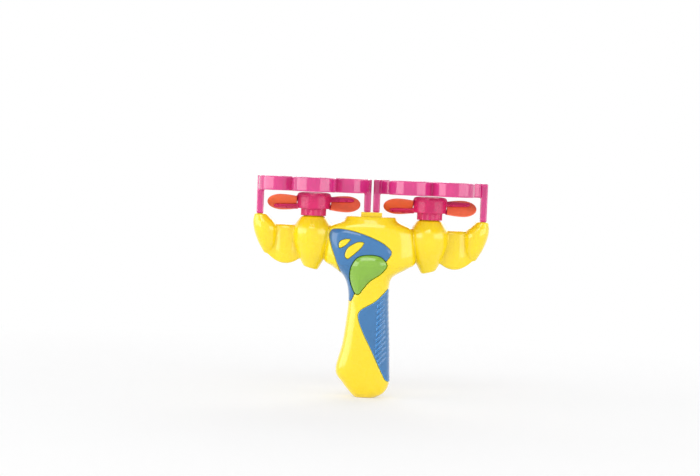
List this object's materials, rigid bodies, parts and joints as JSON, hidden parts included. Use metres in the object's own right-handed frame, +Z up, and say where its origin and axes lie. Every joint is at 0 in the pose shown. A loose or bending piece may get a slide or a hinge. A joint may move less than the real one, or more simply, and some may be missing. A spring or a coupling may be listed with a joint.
{
  "type": "bubble blower",
  "caption": "Hand-held toy bubble blower: T-shaped case with a grip handle and push button, twin motor fans under flower-like bubble loop rings, and a rear battery door.",
  "frame": {"origin": "middle of the flat foot at the lower end of the handle, below the middle of the part", "axes": "+Z up the handle towards the heads, +X to the right as seen from the front, front with the button faces -Y"},
  "size_m": [0.2362, 0.114, 0.218],
  "materials": {
    "yellow_case": "moulded, gloss",
    "pink_clear": "tinted, half clear",
    "orange_soft": "soft moulded",
    "blue_inlay": "moulded, satin",
    "green_button": "moulded, gloss",
    "bright_steel": "plated",
    "motor_metal": null,
    "white_nylon": "moulded",
    "dark_plastic": "moulded",
    "cell_sleeve": null,
    "red_wire": "wire insulation",
    "black_wire": "wire insulation"
  },
  "bodies": {
    "case": {"front_shell": "yellow_case", "rear_shell": "yellow_case", "front_panel": "blue_inlay", "side_grip": "blue_inlay", "push_switch": "dark_plastic", "button_spring": "bright_steel", "screw_lobe_left": "bright_steel", "screw_lobe_right": "bright_steel", "screw_pod_left": "bright_steel", "screw_pod_right": "bright_steel", "screw_shoulder_left": "bright_steel", "screw_shoulder_right": "bright_steel", "screw_foot": "bright_steel", "left_bubble_ring": "pink_clear", "right_bubble_ring": "pink_clear", "left_motor_can": "motor_metal", "left_motor_end_cap": "white_nylon", "right_motor_can": "motor_metal", "right_motor_end_cap": "white_nylon", "battery_1": "cell_sleeve", "battery_2": "cell_sleeve", "battery_3": "cell_sleeve", "battery_4": "cell_sleeve", "bridge_contact": "bright_steel", "bridge_spring": "bright_steel", "positive_contact": "bright_steel", "negative_contact": "bright_steel", "negative_spring": "bright_steel", "wire_battery_to_switch": "red_wire", "wire_switch_to_left_motor": "red_wire", "wire_return_left_motor": "black_wire", "wire_switch_to_right_motor": "red_wire", "wire_return_right_motor": "black_wire"},
    "left_fan": {"left_fan_hub": "pink_clear", "left_fan_blade_1": "orange_soft", "left_fan_blade_2": "orange_soft", "left_motor_shaft": "bright_steel"},
    "right_fan": {"right_fan_hub": "pink_clear", "right_fan_blade_1": "orange_soft", "right_fan_blade_2": "orange_soft", "right_motor_shaft": "bright_steel"},
    "button": {"power_button": "green_button", "switch_plunger": "white_nylon"},
    "door": {"battery_door": "yellow_case", "battery_door_screw": "bright_steel"}
  },
  "joints": [
    {"name": "left_fan_spin", "type": "hinge", "parent": "case", "child": "left_fan", "pos_m": [-0.058, 0, 0.19], "axis": [0, 0, 1], "continuous": true},
    {"name": "right_fan_spin", "type": "hinge", "parent": "case", "child": "right_fan", "pos_m": [0.058, 0, 0.19], "axis": [0, 0, 1], "continuous": true},
    {"name": "power_button_press", "type": "slide", "parent": "case", "child": "button", "axis": [0, 1, 0], "range_m": [0, 0.0025], "stiffness_N_per_m": 900, "springref_m": -0.0015, "deforming": ["button_spring"]},
    {"name": "battery_door_hinge", "type": "hinge", "parent": "case", "child": "door", "pos_m": [0, 0.017, 0.0175], "axis": [-1, 0, 0], "range_deg": [0, 75]}
  ]
}
